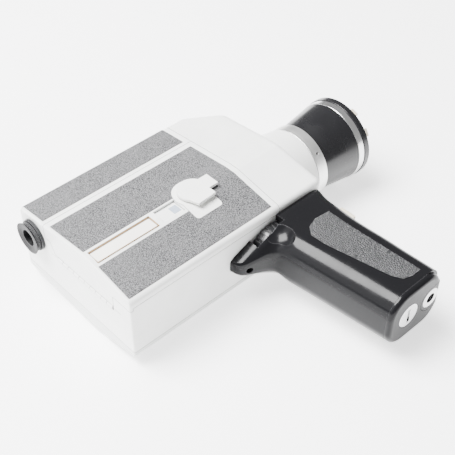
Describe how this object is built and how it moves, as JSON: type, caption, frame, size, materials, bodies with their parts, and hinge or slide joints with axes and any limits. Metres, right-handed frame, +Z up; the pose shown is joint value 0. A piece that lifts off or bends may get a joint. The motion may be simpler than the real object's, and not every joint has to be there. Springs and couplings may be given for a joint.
{
  "type": "cine camera",
  "caption": "Pistol-grip cine camera lying on its side: shallow hexagonal body with hinged film door, leatherette panels, flared lens, eyepiece, trigger and clamp wheel.",
  "frame": {"origin": "centre of the flat ridge of the left cover that the camera rests on, under the lens axis and half way along the body", "axes": "+X towards the lens front, +Y towards the camera's own top with the grip pointing to -Y, +Z up through the film door"},
  "size_m": [0.2112, 0.1904, 0.0591],
  "materials": {
    "body_paint": "satin off-white enamel on die-cast metal",
    "cover_paint": "satin light-grey enamel",
    "leatherette": "coarse grey leatherette",
    "grip_plastic": "glossy black moulding",
    "grip_leather": "leather-grained black inset",
    "black_enamel": "polished black anodised metal",
    "satin_metal": "satin turned aluminium",
    "chrome": "polished chrome",
    "ivory_plastic": "ivory moulded plastic",
    "black_plastic": "fine matt black plastic",
    "lens_glass": "coated optical glass",
    "window_glass": "grey-blue window",
    "plate_metal": "brushed aluminium with a warm edge",
    "steel": "bright steel",
    "brass": "turned brass",
    "board": "phenolic board"
  },
  "bodies": {
    "camera_body": {"body_shell": "body_paint", "left_cover": "cover_paint", "front_housing": "body_paint", "upper_panel": "leatherette", "left_upper_panel": "leatherette", "left_lower_panel": "leatherette", "hinge_pin": "steel", "cover_screws": "steel", "housing_screws": "steel", "lens_tube": "black_enamel", "rear_lens_cell": "black_enamel", "rear_element": "lens_glass", "iris_plate": "black_plastic", "eyepiece_base": "black_plastic", "eye_lens": "lens_glass", "finder_tube": "black_plastic", "finder_relay_lens": "lens_glass", "finder_prism": "lens_glass", "film_gate": "steel", "drive_motor": "steel", "motor_clip": "steel", "circuit_board": "board", "latch_catch": "steel", "grip_shell": "grip_plastic", "right_grip_pad": "grip_leather", "left_grip_pad": "grip_leather", "trigger_switch": "black_plastic", "trigger_spring": "steel", "tripod_bush": "chrome", "battery_contacts": "brass"},
    "door": {"film_door": "body_paint", "door_panel": "leatherette", "latch_plate": "body_paint", "name_plate": "plate_metal", "film_window": "window_glass"},
    "latch": {"latch_handle": "body_paint", "latch_bolt": "steel"},
    "zoom": {"zoom_ring": "satin_metal", "zoom_grub_screw": "steel"},
    "focus": {"focus_barrel": "black_enamel", "trim_ring": "chrome", "filter_ring": "black_enamel", "front_lugs": "ivory_plastic", "front_element": "lens_glass"},
    "dioptre": {"dioptre_ring": "black_plastic", "eyecup": "black_plastic"},
    "claw": {"film_claw": "steel"},
    "shutter": {"shutter_disc": "steel", "shutter_shaft": "steel", "shutter_gear": "brass"},
    "motor_rotor": {"motor_shaft": "steel", "drive_pinion": "brass", "drive_worm": "brass"},
    "spindle": {"takeup_spindle": "brass"},
    "clamp": {"clamp_wheel": "black_plastic", "clamp_stud": "steel"},
    "trigger": {"trigger": "ivory_plastic"},
    "cap": {"battery_cap": "grip_plastic"},
    "coin_lock": {"coin_screw": "chrome"}
  },
  "joints": [
    {"name": "door_hinge", "type": "hinge", "parent": "camera_body", "child": "door", "pos_m": [-0.0534, 0.0015, 0.0347], "axis": [0, -1, 0], "range_deg": [0, 105]},
    {"name": "latch_turn", "type": "hinge", "parent": "door", "child": "latch", "pos_m": [0.0213, -0.002, 0.0571], "axis": [0, 0, 1], "range_deg": [0, 90]},
    {"name": "zoom_turn", "type": "hinge", "parent": "camera_body", "child": "zoom", "pos_m": [0.1082, 0, 0.0281], "axis": [1, 0, 0], "range_deg": [-20, 80]},
    {"name": "focus_turn", "type": "hinge", "parent": "camera_body", "child": "focus", "pos_m": [0.126, 0, 0.0281], "axis": [1, 0, 0], "range_deg": [-60, 180]},
    {"name": "dioptre_turn", "type": "hinge", "parent": "camera_body", "child": "dioptre", "pos_m": [-0.0572, 0.0473, 0.0389], "axis": [1, 0, 0], "range_deg": [-90, 90]},
    {"name": "claw_stroke", "type": "slide", "parent": "camera_body", "child": "claw", "axis": [0, 1, 0], "range_m": [0, 0.0042]},
    {"name": "shutter_spin", "type": "hinge", "parent": "camera_body", "child": "shutter", "pos_m": [0.057, 0.0135, 0.0281], "axis": [1, 0, 0], "continuous": true},
    {"name": "motor_spin", "type": "hinge", "parent": "camera_body", "child": "motor_rotor", "pos_m": [0.057, 0.0076, 0.0119], "axis": [1, 0, 0], "continuous": true},
    {"name": "spindle_spin", "type": "hinge", "parent": "camera_body", "child": "spindle", "pos_m": [0.012, -0.0043, 0.0201], "axis": [0, 0, 1], "continuous": true},
    {"name": "clamp_turn", "type": "hinge", "parent": "camera_body", "child": "clamp", "pos_m": [0.045, -0.042, 0.0281], "axis": [0, 1, 0], "continuous": true},
    {"name": "trigger_pull", "type": "slide", "parent": "camera_body", "child": "trigger", "axis": [-1, 0, 0], "range_m": [0, 0.004], "stiffness_N_per_m": 400, "springref_m": -0.004, "deforming": ["trigger_spring"]},
    {"name": "cap_remove", "type": "slide", "parent": "camera_body", "child": "cap", "axis": [0, -1, 0], "range_m": [0, 0.02]},
    {"name": "coin_turn", "type": "hinge", "parent": "cap", "child": "coin_lock", "pos_m": [0.0606, -0.129, 0.0281], "axis": [0, 1, 0], "range_deg": [0, 90]}
  ],
  "couplings": [
    {"joint": "motor_spin", "follows": "shutter_spin", "ratio": -2.5},
    {"joint": "spindle_spin", "follows": "shutter_spin", "ratio": -0.078125}
  ]
}
